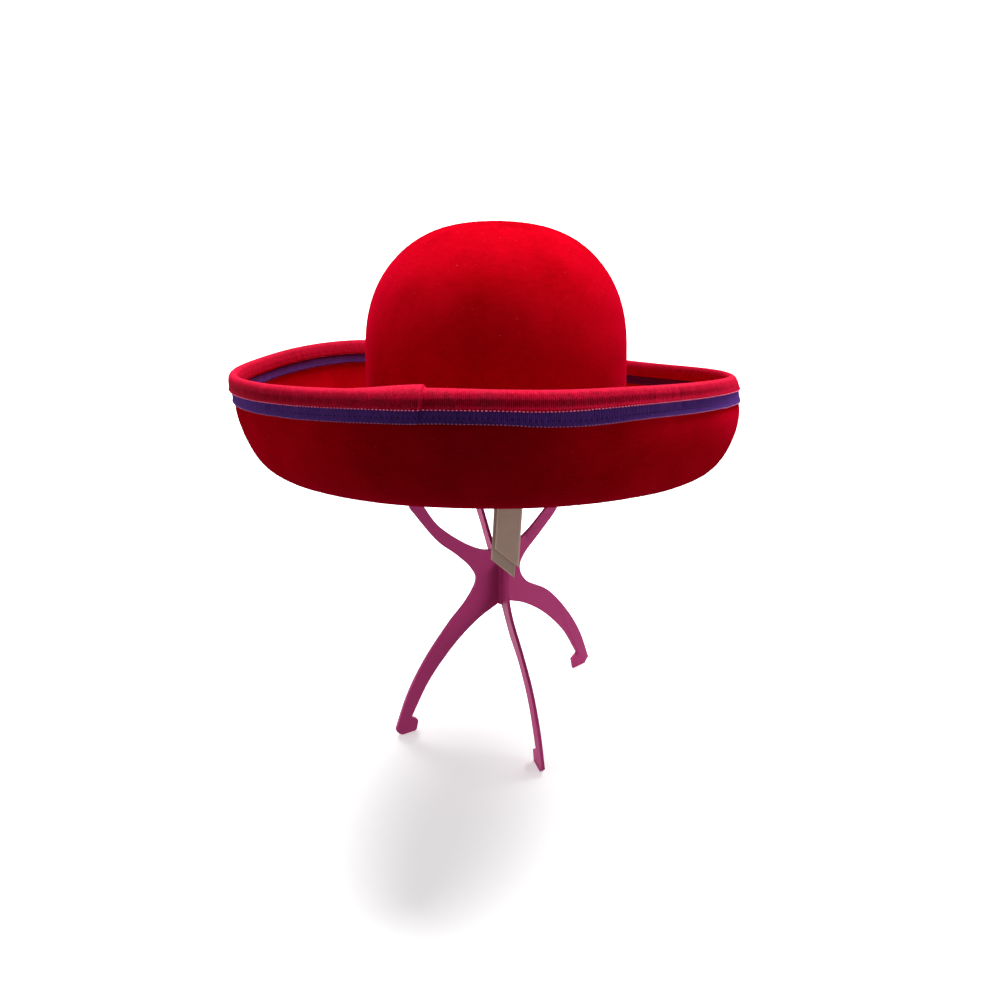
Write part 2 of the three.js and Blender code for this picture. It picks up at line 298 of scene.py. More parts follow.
CROWN_LINE = crown_line()
print("crown line in mm:", round(CROWN_LINE.length / MM), "wall line:", round(wall_line(270.0).length / MM))

# %% [markdown]
# The sheet starts flat: a straight line from the middle to the edge is spun once round into a disc. Each
# vertex is then pressed onto the block by its ring and its azimuth. The ribbons hold the edge in, so the
# felt swells a little below them on both flanks. Slow noise keeps the surface from being as perfect as a
# machined one. Solidify gives the wall, and one level of subdivision rounds it.

# %% Block the felt
CROWN_RINGS = 42
WALL_RINGS = 14
ROUND_STEPS = 144
RING_MERGE = 0.001
UNEVENNESS = 0.45 * MM
UNEVEN_SIZE = 38 * MM
SWELL = 1.5 * MM
SWELL_START = 11 * MM
SWELL_FULL = 18 * MM
SWELL_END = 45 * MM


def ease(value, start, end):
    share = min(1, max(0, (value - start) / (end - start)))
    return share * share * (3 - 2 * share)


def flank_share(azimuth):
    """1 on the left and right flanks of the hat, 0 on its near and far sides."""
    return math.cos(math.radians(azimuth)) ** 2


def swell(below, azimuth):
    amount = ease(below, SWELL_START, SWELL_FULL) - ease(below, SWELL_FULL, SWELL_END)
    return SWELL * amount * flank_share(azimuth)


def on_block(point, azimuth):
    across = HEAD_HALF_WIDTH + point.x
    lengthening = (HEAD_HALF_LENGTH - HEAD_HALF_WIDTH) * min(1, across / HEAD_HALF_WIDTH)
    angle = math.radians(azimuth)
    return Vector((across * math.cos(angle), (across + lengthening) * math.sin(angle), point.y))


def felt_point(ring, azimuth):
    if ring <= CROWN_RINGS:
        point, _ = CROWN_LINE.at(CROWN_LINE.length * ring / CROWN_RINGS)
    else:
        wall = wall_line(azimuth)
        length = wall.length * (ring - CROWN_RINGS) / WALL_RINGS
        point, tangent = wall.at(length)
        point += swell(wall.length - length, azimuth) * Vector((tangent.y, -tangent.x))
    return on_block(point, azimuth)


def azimuth_of(point):
    return round(math.degrees(math.atan2(point.y, point.x)) % 360, 4)


def blocked_felt():
    rings = CROWN_RINGS + WALL_RINGS
    shape = bmesh.new()
    middle, edge = shape.verts.new((0, 0, 0)), shape.verts.new((rings, 0, 0))
    bmesh.ops.subdivide_edges(shape, edges=[shape.edges.new((middle, edge))], cuts=rings - 1)
    bmesh.ops.spin(
        shape, geom=shape.verts[:] + shape.edges[:], axis=(0, 0, 1),
        angle=math.tau, steps=ROUND_STEPS, use_merge=True,
    )
    bmesh.ops.remove_doubles(shape, verts=shape.verts, dist=RING_MERGE)
    for vert in shape.verts:
        ring = round(math.hypot(vert.co.x, vert.co.y))
        vert.co = felt_point(ring, azimuth_of(vert.co))
    bmesh.ops.recalc_face_normals(shape, faces=shape.faces)
    shape.normal_update()
    for vert in shape.verts:
        vert.co += vert.normal * UNEVENNESS * noise.noise(vert.co / UNEVEN_SIZE)
    bmesh.ops.transform(shape, matrix=HAT_PLACE, verts=shape.verts)
    return shape


def thicken(piece, wall):
    thickness = piece.modifiers.new("wall", "SOLIDIFY")
    thickness.thickness = wall
    thickness.offset = 0


felt_shape = blocked_felt()
nap_faces = felt_shape.copy()
felt_hat = show(felt_shape, "felt_hat", red_felt, "felt_body")
thicken(felt_hat, FELT_WALL)
rounding = felt_hat.modifiers.new("rounding", "SUBSURF")
rounding.levels = 1
rounding.render_levels = 1

# %% [markdown]
# Stray fibres stand up from the nap and soften the hat's outline. One tuft of a few thin spikes is made
# once and stamped all over both sides of the sheet, placed and turned by a random generator. The generator
# has a seed, but Blender may list the sheet's faces in another order on another run, so single tufts can
# land elsewhere. Hair particles would do the same, but would not leave a mesh that others can reuse.

# %% Nap of the felt
TUFT_COUNT = 5200
TUFT_FIBRES = 6
TUFT_SPREAD = 3.2 * MM
FIBRE_LENGTH = 1.5 * MM
FIBRE_SHARES = (0.5, 1.2)
FIBRE_LEANS = (48, 82)
FIBRE_RADIUS = 0.035 * MM
TUFT_MERGE = 0.001 * MM
draw = random.Random(7)


def felt_tuft():
    tuft = bmesh.new()
    for _ in range(TUFT_FIBRES):
        lean = Matrix.Rotation(math.radians(draw.uniform(*FIBRE_LEANS)), 4, "X")
        turn = Matrix.Rotation(draw.uniform(0, math.tau), 4, "Z")
        across, along = draw.uniform(-1, 1) * TUFT_SPREAD, draw.uniform(-1, 1) * TUFT_SPREAD
        length = FIBRE_LENGTH * draw.uniform(*FIBRE_SHARES)
        root = Matrix.Translation((across, along, 0)) @ turn @ lean
        bmesh.ops.create_cone(
            tuft, cap_ends=True, segments=3, radius1=FIBRE_RADIUS, radius2=0, depth=length,
            matrix=root @ Matrix.Translation((0, 0, length / 2)),
        )
    bmesh.ops.remove_doubles(tuft, verts=tuft.verts, dist=TUFT_MERGE)
    return mesh_of(tuft, "tuft")


def stamp(shape, pattern, place):
    copy = pattern.copy()
    copy.transform(place)
    shape.from_mesh(copy)
    bpy.data.meshes.remove(copy)


def felt_nap(sheet, tuft):
    nap = bmesh.new()
    sheet.faces.ensure_lookup_table()
    areas = [face.calc_area() for face in sheet.faces]
    for face in draw.choices(sheet.faces, areas, k=TUFT_COUNT):
        normal = face.normal * draw.choice((1, -1))
        corners = [vert.co for vert in face.verts]
        point = corners[0].lerp(corners[1], draw.random()).lerp(corners[2], draw.random())
        turned = normal.to_track_quat("Z", "Y").to_matrix().to_4x4()
        turn = Matrix.Rotation(draw.uniform(0, math.tau), 4, "Z")
        stamp(nap, tuft, Matrix.Translation(point + normal * FELT_WALL / 2) @ turned @ turn)
    sheet.free()
    return nap


show(felt_nap(nap_faces, felt_tuft()), "felt_nap", red_felt)

# %% [markdown]
# Grosgrain is a ribbon with thick weft cords, which show as fine ribs straight across it. The ribs are
# modelled, so the material only adds what is finer: painted shade darkens the grooves between the cords,
# each cord takes the dye a little differently, and a short fuzz covers them. The painted groove shade
# follows the ribbon's own map, which runs along and across it.

# %% Ribbon finish
RED_RIBBON = (0.78, 0.009, 0.056, 1)
RED_RIBBON_DEEP = (0.15, 0.0005, 0.003, 1)
RED_RIBBON_SHEEN = (1.0, 0.012, 0.11, 1)
PURPLE_RIBBON = (0.15, 0.048, 0.32, 1)
PURPLE_RIBBON_DEEP = (0.064, 0.020, 0.16, 1)
PURPLE_RIBBON_SHEEN = (0.6, 0.4, 0.9, 1)
RIB_PITCH = 0.9 * MM
RIBBON_ROUND = 1040 * MM
RIB_COUNT = round(RIBBON_ROUND / RIB_PITCH)
STREAK_PITCH = 1.7 * MM
STREAKS_ACROSS = 4
DYE_SIZE = 7 * MM
FUZZ_SIZE = 1.1 * MM
FUZZ_DEPTH = 0.08 * MM


def ribbon_material(name, light, deep, sheen):
    material, wires, place = start_material(name)
    own_map = wires.node("ShaderNodeUVMap", {"uv_map": "UVMap"})
    along = wires.node("ShaderNodeSeparateXYZ", None, {"Vector": own_map}, "X")
    across = wires.node("ShaderNodeSeparateXYZ", None, {"Vector": own_map}, "Y")
    # painted shade: a wave in step with the modelled ribs darkens the grooves and lightens the rib tops
    groove_shade = (along * (RIB_COUNT * math.tau) - math.pi / 2).wave()
    stretch = {"X": along * (RIBBON_ROUND / STREAK_PITCH), "Y": across * STREAKS_ACROSS}
    streaks = grains(wires, wires.node("ShaderNodeCombineXYZ", None, stretch), 1, 2).sharpened(2)
    dye = grains(wires, place, DYE_SIZE, 3)
    fuzz = grains(wires, place, FUZZ_SIZE, 3).sharpened(2.2)
    # the tone mixes random dye, streaks and fuzz with the painted groove shade
    shade = dye * 0.12 + groove_shade * 0.28 + streaks * 0.28 + fuzz * 0.32
    finish_material(
        wires, shade.blend(deep, light), 0.62, fuzz, FUZZ_DEPTH,
        Sheen_Weight=0.25, Sheen_Roughness=0.4, Sheen_Tint=sheen, Specular_IOR_Level=0.02,
    )
    return material


red_ribbon = ribbon_material("red_ribbon", RED_RIBBON, RED_RIBBON_DEEP, RED_RIBBON_SHEEN)
purple_ribbon = ribbon_material("purple_ribbon", PURPLE_RIBBON, PURPLE_RIBBON_DEEP, PURPLE_RIBBON_SHEEN)
print("made", red_ribbon.name, "and", purple_ribbon.name)

# %% [markdown]
# Both ribbons are cut straight and folded over the brim's edge, and each laps over its own start on the
# near side. A ribbon does not lie flat on the felt: it stands off in a full roll over the edge, is drawn in
# below the roll and flares again at its lower edge. A short profile holds that distance for the near side
# and another for the flanks, where the ribbon lies tighter. On the near right each ribbon has slid a little
# further to the outside.

# %% Section of a ribbon
RIBBON_ROWS = 20
STITCH_ROW = 2
SEAM = 2.6 * MM
INNER_RUN = 0.35
UNDER_RUN = 12
HEM_RUN = 0.5
HEM_DROP = 0.75


def along_profile(profile, share):
    for (start, low), (end, high) in zip(profile, profile[1:]):
        if share <= end:
            return low + (high - low) * ease(share, start, end)
    return profile[-1][1]


class Ribbon:
    def __init__(
        self, leg, lap_end, overlap, run, lift, near, flank, inside, slide, pucker=0.0, under=0.0,
    ):
        self.leg = leg
        self.lap_end = lap_end
        self.overlap = overlap
        self.run = run
        self.lift = lift
        self.near = near
        self.flank = flank
        self.inside = inside
        self.slide = slide
        self.pucker = pucker
        self.under = under
        self.fold = near[0][1] * math.pi / 2
        self.half_width = leg + self.fold
        self.seam = SEAM / (2 * self.half_width)

    def slid(self, azimuth):
        """How much further than elsewhere the ribbon is folded to the outside there."""
        most, middle, run = self.slide
        return most * bell(azimuth, middle, run)

    def outer_stand_off(self, share, azimuth):
        near, flank = along_profile(self.near, share), along_profile(self.flank, share)
        return near + (flank - near) * flank_share(azimuth)

    def stand_off(self, below, azimuth, outside):
        if outside:
            return self.outer_stand_off(below / (self.leg + self.slid(azimuth)), azimuth)
        roll = self.outer_stand_off(0, azimuth)
        return roll + (self.inside - roll) * ease(below / self.leg, 0, INNER_RUN)

    def lap(self, turned):
        """Extra height where the end lies over the start, and where another lap lies under the start."""
        end = 360 + self.overlap
        hem = 1 - HEM_DROP * ease(turned, end - HEM_RUN, end)
        lap = self.lift * hem * ease(turned, end - self.run, end)
        return lap + self.under * (1 - ease(turned, self.overlap, self.overlap + UNDER_RUN))

    def row_place(self, share):
        """Place across the ribbon of a row of the grid, with one row moved onto the seam."""
        seam_share = STITCH_ROW / RIBBON_ROWS
        if share > 0.5:
            return 1 - self.row_place(1 - share)
        if share < seam_share:
            return self.seam * share / seam_share
        return self.seam + (0.5 - self.seam) * (share - seam_share) / (0.5 - seam_share)


# %% [markdown]
# The ribbon is made as it is sewn: a flat grid of its whole length is wrapped over the brim, column by
# column, and every second column is raised to make the ribs. Edges across the ribbon stay sharp, so that
# each rib catches the light. The thread pulls the ribbon in along its seam, once for each stitch.

# %% Wrap a ribbon over the brim
RIBBON_WALL = 0.6 * MM
RIB_HEIGHT = 0.28 * MM
RIB_UNEVENNESS = 0.35
RIB_CHANGE = 0.37
RIB_CHANGE_ACROSS = 2
STITCH_PITCH = 2.7 * MM
STITCH_COUNT = round(RIBBON_ROUND / STITCH_PITCH)
EVEN_PULL = 0.6
END_SLOPE = 0.4
END_SLOPE_RUN = 6
FOLD_FULLNESS = 1.6
FOLD_RISE_NEAR = 0.8
FOLD_RISE_FAR = 1.6
RIPPLE = 0.02
RIPPLE_RUN = 9
RIPPLE_SIDES = 3


def pull_of_thread(ribbon, along, across):
    rows_away = abs(min(across, 1 - across) / ribbon.seam - 1) * STITCH_ROW
    each_stitch = math.cos(math.tau * (along * STITCH_COUNT - 0.5))
    return max(0, 1 - rows_away) * (EVEN_PULL + (1 - EVEN_PULL) * each_stitch)


def roll_direction(share, side, azimuth, tangent):
    """Way out from the felt: up along the wall on the crest of the roll, square to the wall below it."""
    angle = share * math.pi / 2
    power = 2 / FOLD_FULLNESS
    over, up = math.sin(angle) ** power, max(0, math.cos(angle)) ** power
    nearness = (1 - math.sin(math.radians(azimuth))) / 2
    rise = FOLD_RISE_FAR + (FOLD_RISE_NEAR - FOLD_RISE_FAR) * nearness
    return rise * up * tangent - side * over * Vector((-tangent.y, tangent.x))


def wrapped(ribbon, along, across, raised=0.0):
    """Place on the brim of a point of the flat ribbon; along and across run from 0 to 1."""
    start, end = ribbon.lap_end - ribbon.overlap, 360 + ribbon.overlap
    turned = end * along
    width = (2 * across - 1) * ribbon.half_width + ribbon.slid((start + turned) % 360)
    side = 1 if width > 0 else -1
    below = max(0, abs(width) - ribbon.fold)
    slope = END_SLOPE * ease(turned, end - END_SLOPE_RUN, end)
    azimuth = round((start + turned - slope * below / ribbon.leg) % 360, 3)
    ripple = 1 + RIPPLE * noise.noise(Vector((azimuth / RIPPLE_RUN, side * RIPPLE_SIDES, 0)))
    wall = wall_line(azimuth)
    point, tangent = wall.at(wall.length - below * ripple)
    distance = ribbon.stand_off(below, azimuth, side > 0) + ribbon.lap(turned) + raised
    distance -= ribbon.pucker * pull_of_thread(ribbon, along, across)
    out = roll_direction(min(1, abs(width) / ribbon.fold), side, azimuth, tangent)
    return HAT_PLACE @ on_block(point + distance * out, azimuth)


def ribbon_strip(ribbon):
    columns = 2 * RIB_COUNT
    shape = bmesh.new()
    shape.loops.layers.uv.new("UVMap")
    bmesh.ops.create_grid(
        shape, x_segments=columns, y_segments=RIBBON_ROWS, size=0.5, calc_uvs=True,
    )
    for edge in shape.edges:
        first, second = edge.verts
        edge.smooth = abs(first.co.x - second.co.x) > 0.1 / columns
    for vert in shape.verts:
        along, across = vert.co.x + 0.5, ribbon.row_place(vert.co.y + 0.5)
        column = round(along * columns)
        change = noise.noise(Vector((column * RIB_CHANGE, across * RIB_CHANGE_ACROSS, 0)))
        height = RIB_HEIGHT * (1 + RIB_UNEVENNESS * change)
        vert.co = wrapped(ribbon, along, across, height / 2 if column % 2 else -height / 2)
    bmesh.ops.recalc_face_normals(shape, faces=shape.faces)
    return shape


# %% [markdown]
# The purple ribbon goes on first. It is the wider one, lies close to the felt, and is sewn through, so it
# puckers along its seam. Each pair in a profile is a share of the way down the leg and the distance from
# the middle of the felt. A slide is its size, the azimuth of its middle and its run in degrees.

# %% Purple ribbon
PURPLE_NEAR = ((0, 1.9 * MM), (0.25, 1.6 * MM), (0.45, 1.95 * MM), (0.8, 1.6 * MM), (1.15, 2.9 * MM))
PURPLE_FLANK = ((0, 1.5 * MM), (0.45, 1.9 * MM), (1, 2.2 * MM))
PURPLE_SLIDE = (1.6 * MM, 283, 11)
purple = Ribbon(
    leg=13.2 * MM, lap_end=258.3, overlap=4, run=12, lift=0.9 * MM, pucker=0.5 * MM,
    near=PURPLE_NEAR, flank=PURPLE_FLANK, inside=1.7 * MM, slide=PURPLE_SLIDE,
)
purple_piece = show(ribbon_strip(purple), "purple_band_ribbon", purple_ribbon, "purple_band")
thicken(purple_piece, RIBBON_WALL)

# %% [markdown]
# The red ribbon is folded over the purple one and is narrower, so the purple shows below it. Its roll is
# fuller, and its lap stands higher, because the purple lap lies under it.

# %% Red ribbon
RED_NEAR = ((0, 3.1 * MM), (0.25, 3.8 * MM), (0.6, 2.9 * MM), (1.15, 4.6 * MM))
RED_FLANK = ((0, 2.3 * MM), (0.45, 2.7 * MM), (1, 2.9 * MM))
RED_SLIDE = (1.2 * MM, 279, 16)
red = Ribbon(
    leg=6.2 * MM, lap_end=259.2, overlap=6, run=15, lift=3.0 * MM, under=0.9 * MM,
    near=RED_NEAR, flank=RED_FLANK, inside=2.9 * MM, slide=RED_SLIDE,
)
red_piece = show(ribbon_strip(red), "red_binding_ribbon", red_ribbon, "red_binding")
thicken(red_piece, RIBBON_WALL)

# %% [markdown]
# The long edges of a woven ribbon are its selvedges, where the weft turns back in small pale loops. From a
# little way off they read as a dotted line. The purple ribbon is also sewn down with a row of dark
# stitches. Loops and stitches are both thread, so one finish does for them in three colours: a fine twist
# and a slow change of tone.

# %% Thread finish
PINK_LOOP = (0.98, 0.24, 0.42, 1)
PINK_LOOP_DEEP = (0.66, 0.09, 0.19, 1)
MAUVE_LOOP = (0.62, 0.24, 0.46, 1)
MAUVE_LOOP_DEEP = (0.40, 0.14, 0.32, 1)
DARK_THREAD = (0.020, 0.006, 0.075, 1)
DARK_THREAD_DEEP = (0.010, 0.003, 0.040, 1)
TWIST_SIZE = 0.4 * MM
TWIST_DEPTH = 0.05 * MM
TONE_SIZE = 6 * MM


def thread_material(name, light, deep):
    material, wires, place = start_material(name)
    twist = grains(wires, place, TWIST_SIZE, 2)
    shade = twist * 0.5 + grains(wires, place, TONE_SIZE, 2) * 0.5
    finish_material(wires, shade.blend(deep, light), 0.7, twist, TWIST_DEPTH, Specular_IOR_Level=0.1)
    return material


pink_loops = thread_material("pink_loops", PINK_LOOP, PINK_LOOP_DEEP)
mauve_loops = thread_material("mauve_loops", MAUVE_LOOP, MAUVE_LOOP_DEEP)
dark_thread = thread_material("dark_thread", DARK_THREAD, DARK_THREAD_DEEP)
print("made", pink_loops.name, "and", mauve_loops.name, "and", dark_thread.name)

# %% [markdown]
# A flattened bead stands for each loop, stamped along the edge with its length in line with the ribbon. A
# curve with a round section would be simpler, but would draw a smooth line instead of dots. The stitches
# are the same kind of bead, only longer, and lie in the seam on both sides of the brim.

# %% Loops and stitches
LOOP_PITCH = 1.8 * MM
LOOP_COUNT = round(RIBBON_ROUND / LOOP_PITCH)
LOOP_SIZE = (1.25 * MM, 0.7 * MM)
LOOP_LIFT = 0.34 * MM
LOOP_LIFT_INSIDE = -0.1 * MM
LOOP_UNEVENNESS = 0.25 * MM
LOOP_CHANGE = 0.7
LOOP_CHANGE_ACROSS = 5
LOOP_NOISE_LEVEL = 0.3
STITCH_SIZE = (2.0 * MM, 0.75 * MM)
LOOK_AHEAD = 0.2


def bead_mesh(length, width):
    bead = bmesh.new()
    size = Matrix.Diagonal((length / 2, width / 2, width / 2, 1))
    bmesh.ops.create_icosphere(bead, subdivisions=1, radius=1, matrix=size)
    return mesh_of(bead, "bead")


def bead_row(ribbon, bead, count, lines):
    row = bmesh.new()
    for across, raised in lines:
        for number in range(count):
            along = (number + 0.5) / count
            place = Vector((number * LOOP_CHANGE, across * LOOP_CHANGE_ACROSS, LOOP_NOISE_LEVEL))
            height = raised + LOOP_UNEVENNESS * noise.noise(place)
            point = wrapped(ribbon, along, across, height)
            ahead = wrapped(ribbon, min(1, along + LOOK_AHEAD / count), across, height)
            turned = (ahead - point).to_track_quat("X", "Z").to_matrix().to_4x4()
            stamp(row, bead, Matrix.Translation(point) @ turned)
    return row


loop, stitch = bead_mesh(*LOOP_SIZE), bead_mesh(*STITCH_SIZE)
edges = ((0, LOOP_LIFT_INSIDE), (1, LOOP_LIFT))
seams = ((purple.seam, RIBBON_WALL / 2), (1 - purple.seam, RIBBON_WALL / 2))
show(bead_row(red, loop, LOOP_COUNT, edges), "red_selvedge", pink_loops)
show(bead_row(purple, loop, LOOP_COUNT, edges), "purple_selvedge", mauve_loops)
show(bead_row(purple, stitch, STITCH_COUNT, seams), "purple_stitches", dark_thread)

# %% [markdown]
# A plain ribbon tab is sewn inside the near side of the head opening. It is woven so finely that its
# threads hardly show, so two crossed waves in the material are enough for the weave. Its back layer takes
# a darker copy of the face's colour, so each has a material of its own.

# %% Tape finish
TAPE_BEIGE = (0.86, 0.61, 0.50, 1)
TAPE_DEEP_BEIGE = (0.71, 0.50, 0.41, 1)
REVERSE_BEIGE = (0.60, 0.425, 0.34, 1)
REVERSE_DEEP_BEIGE = (0.49, 0.34, 0.275, 1)
WARP_PITCH = 0.5 * MM
WEFT_PITCH = 0.45 * MM
WEAVE_DEPTH = 0.04 * MM
TAPE_TONE = 9 * MM


def tape_material(name, light, deep):
    material, wires, place = start_material(name)
    across = wires.node("ShaderNodeSeparateXYZ", None, {"Vector": place}, "X")
    up = wires.node("ShaderNodeSeparateXYZ", None, {"Vector": place}, "Z")
    weave = (across * (math.tau / WARP_PITCH)).wave() * (up * (math.tau / WEFT_PITCH)).wave()
    colour = (grains(wires, place, TAPE_TONE, 3) * 0.75 + weave * 0.25).blend(deep, light)
    finish_material(wires, colour, 0.75, weave, WEAVE_DEPTH, Specular_IOR_Level=0.2)
    return material


tape_face = tape_material("tape_face", TAPE_BEIGE, TAPE_DEEP_BEIGE)
tape_reverse = tape_material("tape_reverse", REVERSE_BEIGE, REVERSE_DEEP_BEIGE)
print("made", tape_face.name, "and", tape_reverse.name)

# %% [markdown]
# The tab is one strip folded double, and hangs down in front of the stand. The front layer shows the
# ribbon's face and ends on a slant, and the back layer shows its reverse, a little to the left and longer.
# Cloth simulation would find almost the same hang, but a single grid laid down the back, over the fold and
# down the front keeps the slant exact. It then gets a thin wall.

# %% Hang the tab
TAB_ACROSS = 9.3 * MM
TAB_WIDTH = 15 * MM
TAB_SHIFT = 2 * MM
TAB_SEWN = 16 * MM
TAB_HANG = 77 * MM
TAB_SLANT = 13 * MM
TAB_LONGER = 10.4 * MM
TAB_ASLANT = math.radians(-3)
TAB_TURN = math.radians(20)
TAB_WALL = 0.5 * MM
TAB_LAYER_GAP = 0.9 * MM
TAB_OFF_WALL = 2.2 * MM
TAB_COLUMNS = 12
TAB_ROWS = 96


def tab_seat():
    far_edge = (TAB_ACROSS + (TAB_WIDTH + TAB_SHIFT) / 2) / HEAD_HALF_WIDTH
    head_wall = HEAD_HALF_LENGTH * math.sqrt(1 - far_edge ** 2)
    return HAT_PLACE @ Vector((TAB_ACROSS, TAB_OFF_WALL - head_wall, HEADLINE_HEIGHT))


def tab_point(sideways, length, layer):
    """Place of a point of the folded strip; layer is 1 on the front one and -1 on the back one."""
    into_hat = HAT_PLACE.to_3x3() @ Vector((0, 0, 1))
    down = Vector((math.tan(TAB_ASLANT), 0, -1)).normalized()
    turned = Matrix.Rotation(TAB_TURN, 3, "X") @ down
    hang = TAB_HANG - TAB_SLANT * (0.5 - sideways / TAB_WIDTH)
    hung = length - TAB_SEWN
    point = tab_seat() + Vector((sideways + layer * TAB_SHIFT / 2, -layer * TAB_LAYER_GAP / 2, 0))
    if hung < 0:
        return point - into_hat * hung
    return point + down * min(hung, hang) + turned * max(0, hung - hang)


def hanging_strip():
    shape = bmesh.new()
    bmesh.ops.create_grid(shape, x_segments=TAB_COLUMNS, y_segments=TAB_ROWS, size=0.5)
    for face in shape.faces:
        face.material_index = 1 if face.calc_center_median().y < 0 else 0
    for vert in shape.verts:
        sideways = vert.co.x * TAB_WIDTH
        longest = TAB_SEWN + TAB_HANG + (TAB_LONGER if vert.co.y < 0 else 0)
        own_length = longest - TAB_SLANT * (0.5 - vert.co.x)
        layer = max(-1, min(1, vert.co.y * TAB_ROWS))
        vert.co = tab_point(sideways, abs(2 * vert.co.y) * own_length, layer)
    bmesh.ops.recalc_face_normals(shape, faces=shape.faces)
    return shape


tab_piece = show(hanging_strip(), "hanging_tab_tape", tape_face, "hanging_tab")
tab_piece.data.materials.append(tape_reverse)
thicken(tab_piece, TAB_WALL)

# %% [markdown]
# The stand's leaves are flat mouldings in a satin pink plastic. The dye has flowed a little unevenly in the
# mould, and a fine grain keeps the surface from shining like glass, so slow noise moves the colour and fine
# noise moves the roughness.

# %% Plastic finish
PLASTIC_PINK = (0.54, 0.044, 0.205, 1)
PLASTIC_DEEP_PINK = (0.48, 0.034, 0.175, 1)
FLOW_SIZE = 45 * MM
SPECK_SIZE = 0.6 * MM
SPECK_DEPTH = 0.015 * MM


def plastic_material(name):
    material, wires, place = start_material(name)
    flow = grains(wires, place, FLOW_SIZE, 2)
    specks = grains(wires, place, SPECK_SIZE, 2)
    roughness = 0.44 + flow * 0.1 + specks * 0.06
    colour = flow.blend(PLASTIC_DEEP_PINK, PLASTIC_PINK)
    finish_material(wires, colour, roughness, specks, SPECK_DEPTH, Specular_IOR_Level=0.15)
    return material


pink_plastic = plastic_material("pink_plastic")
print("made", pink_plastic.name)

# %% [markdown]
# The leaves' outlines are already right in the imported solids, so a copy of each is merged and its plate
# faces are made whole again. The side leaves are first pushed up to the hinge barrel, so that no light
# shows between. What the copy lacks is the round that a mould leaves on every corner and rim, and bevels
# add it: first the corners of the outline, then all rims. Weighted normals keep the plates flat beside them.

# %% Round the edges of the stand's leaves
LEAF_WALL = 2.4 * MM
LEAF_WALL_SLACK = 0.05 * MM
LEAF_MERGE = 0.01 * MM
LEAF_ROUND = 0.6 * MM
LEAF_SEGMENTS = 3
CORNER_ROUND = 2 * MM
CORNER_SEGMENTS = 5
SHARP_CORNER = math.radians(40)
BLUNT_CORNER = math.radians(25)
FLAT_TURN = math.radians(1)
HINGE_AXIS = Vector((8.465, 23.019, 0)) * MM
HINGE_GAP = 0.5 * MM
HINGE_EDGE_SLACK = 0.1 * MM


def outline_turns(shape, least):
    """Edges straight through the plate at which its outline turns by more than the given angle."""
    through = [edge for edge in shape.edges if abs(edge.calc_length() - LEAF_WALL) < LEAF_WALL_SLACK]
    return [edge for edge in through if edge.calc_face_angle(0) > least]


def round_off(shape, edges, offset, segments):
    bmesh.ops.bevel(
        shape, geom=edges, offset=offset, affect="EDGES", segments=segments, profile=0.5,
        clamp_overlap=True, material=-1,
    )


def close_hinge(shape):
    """Push the edge that is next to the hinge up to the barrel."""
    reach = min((vert.co.xy - HINGE_AXIS.xy).length for vert in shape.verts) + HINGE_EDGE_SLACK
    edge = [vert for vert in shape.verts if (vert.co.xy - HINGE_AXIS.xy).length < reach]
    middle = sum((vert.co.xy for vert in edge), Vector((0, 0))) / len(edge)
    inward = (HINGE_AXIS.xy - middle).normalized().to_3d()
    bmesh.ops.translate(shape, verts=edge, vec=inward * HINGE_GAP)


def moulded_leaf(node):
    shape = bmesh.new()
    shape.from_mesh(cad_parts[node].data)
    bmesh.ops.remove_doubles(shape, verts=shape.verts, dist=LEAF_MERGE)
    if node != "stand_cross_leaf":
        close_hinge(shape)
    bmesh.ops.dissolve_limit(shape, angle_limit=FLAT_TURN, verts=shape.verts, edges=shape.edges)
    for least in (SHARP_CORNER, BLUNT_CORNER):
        corners = [edge for edge in outline_turns(shape, least) if edge.is_convex]
        round_off(shape, corners, CORNER_ROUND, CORNER_SEGMENTS)
    rims = [edge for edge in shape.edges if edge.calc_face_angle(0) > SHARP_CORNER]
    round_off(shape, rims, LEAF_ROUND, LEAF_SEGMENTS)
    return shape


for node in ("stand_left_leaf", "stand_right_leaf", "stand_cross_leaf"):
    leaf = show(moulded_leaf(node), node + "_moulding", pink_plastic, node)
    leaf.data.set_sharp_from_angle(angle=SHARP_CORNER)
    leaf.modifiers.new("flat_plates", "WEIGHTED_NORMAL").keep_sharp = True

# %% [markdown]
# A pale sweep of paper stands for the studio floor. Its rim is turned up in a wide curve all round, so that
# no horizon line shows from any side. A faint glow of its own keeps the paper white, as a lit sweep is. It
# is a stage and not a part of the hat.

# %% Floor
FLOOR_HALF = 5.0
FLOOR_SIDES = 96
SWEEP_RADIUS = 2.5
SWEEP_SEGMENTS = 24
PAPER = (0.80, 0.80, 0.805, 1)
PAPER_GLOW = 0.6
PAPER_TOOTH = 4 * MM
TOOTH_DEPTH = 0.02 * MM


def paper_sweep():
    shape = bmesh.new()
    bmesh.ops.create_circle(shape, cap_ends=True, segments=FLOOR_SIDES, radius=FLOOR_HALF)
    rim = shape.edges[:]
    raised = bmesh.ops.extrude_edge_only(shape, edges=rim)["geom"]
    top = [item for item in raised if isinstance(item, bmesh.types.BMVert)]
    bmesh.ops.translate(shape, verts=top, vec=(0, 0, FLOOR_HALF))
    bmesh.ops.bevel(
        shape, geom=rim, offset=SWEEP_RADIUS, affect="EDGES", segments=SWEEP_SEGMENTS, profile=0.5,
        material=-1,
    )
    bmesh.ops.recalc_face_normals(shape, faces=shape.faces)
    return shape


def paper_material(name):
    material, wires, place = start_material(name)
    tooth = grains(wires, place, PAPER_TOOTH, 2)
    finish_material(
        wires, PAPER, 0.9, tooth, TOOTH_DEPTH, Emission_Color=PAPER, Emission_Strength=PAPER_GLOW,
    )
    return material


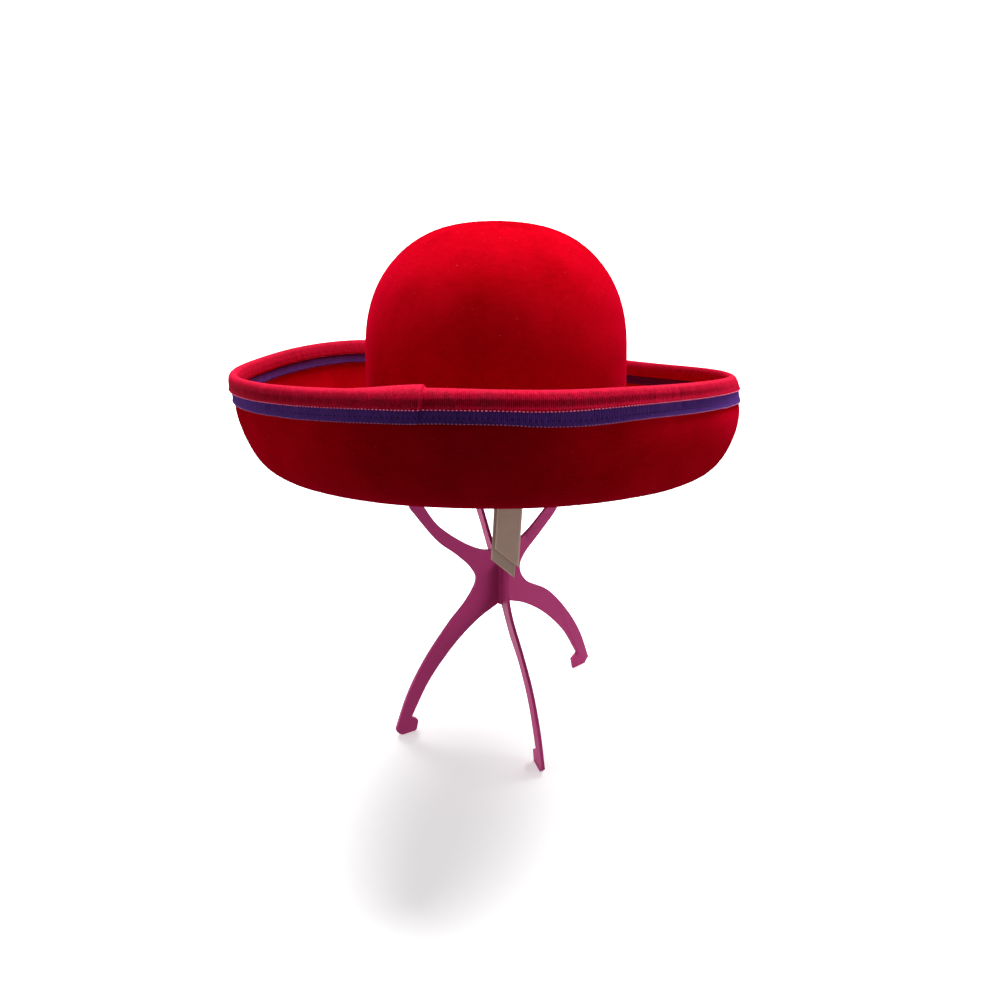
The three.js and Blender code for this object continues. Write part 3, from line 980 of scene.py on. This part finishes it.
floor_mesh = mesh_of(paper_sweep(), "floor")
floor_mesh.shade_smooth()
floor_mesh.materials.append(paper_material("paper"))
floor = bpy.data.objects.new("floor", floor_mesh)
bpy.context.scene.collection.objects.link(floor)
floor.visible_diffuse = False
print("floor is", 2 * FLOOR_HALF, "m wide")

# %% [markdown]
# The light comes mostly from above and behind, with a softbox on either side, so the crown's top and the
# flanks of the brim are bright and the near wall of the brim stays deep. A lamp on the paper behind keeps it
# white, and a weak one at the foot of the stand stands for the light that the table throws back. A low even
# sky fills the rest.

# %% Lights
HAT_MIDDLE = Vector((0, 0, 0.28))
BACKDROP_MIDDLE = Vector((0, FLOOR_HALF, 0.6))
OVERHEAD_ANGLE = math.radians(55)
SKY_STRENGTH = 0.115


def studio_light(name, kind, place, power, aim=HAT_MIDDLE, **settings):
    light = bpy.data.lights.new(name, kind)
    light.energy = power
    for setting, value in settings.items():
        setattr(light, setting, value)
    lamp = bpy.data.objects.new(name, light)
    lamp.location = place
    lamp.rotation_euler = (aim - Vector(place)).to_track_quat("-Z", "Y").to_euler()
    bpy.context.scene.collection.objects.link(lamp)


studio_light("overhead_light", "SUN", (0.2, 0.75, 1.7), 9.6, angle=OVERHEAD_ANGLE)
studio_light("left_softbox", "AREA", (-1.1, -0.15, 0.25), 5.6, shape="DISK", size=0.7)
studio_light("right_softbox", "AREA", (1.1, -0.3, 0.25), 5.7, shape="DISK", size=0.7)
studio_light(
    "backdrop_light", "AREA", (0, 2.4, 3.2), 140, BACKDROP_MIDDLE, shape="RECTANGLE", size=6, size_y=1,
)
studio_light("table_bounce", "AREA", (0, -0.05, 0.004), 0.16, shape="DISK", size=0.5)
world = bpy.data.worlds.new("sky")
world.use_nodes = True
sky = world.node_tree.nodes["Background"]
sky.inputs["Color"].default_value = (1, 1, 1, 1)
sky.inputs["Strength"].default_value = SKY_STRENGTH
bpy.context.scene.world = world
bpy.context.scene.view_settings.view_transform = "Standard"

# %% [markdown]
# The camera looks slightly down at the near side, from the distance at which the brim and the stand have
# the proportions that they have in the photograph.

# %% Camera
CAMERA_AIM = Vector((6.94, 22.96, 177)) * MM
CAMERA_DISTANCE = 714 * MM
CAMERA_ELEVATION = math.radians(26)
CAMERA_LENS = 36
SENSOR_WIDTH = 36

lens = bpy.data.cameras.new("camera")
lens.lens = CAMERA_LENS
lens.sensor_width = SENSOR_WIDTH
camera = bpy.data.objects.new("camera", lens)
back = Vector((0, -math.cos(CAMERA_ELEVATION), math.sin(CAMERA_ELEVATION)))
camera.location = CAMERA_AIM + CAMERA_DISTANCE * back
camera.rotation_euler = (-back).to_track_quat("-Z", "Y").to_euler()
bpy.context.scene.collection.objects.link(camera)
bpy.context.scene.camera = camera
print("camera at", [round(value, 3) for value in camera.location])
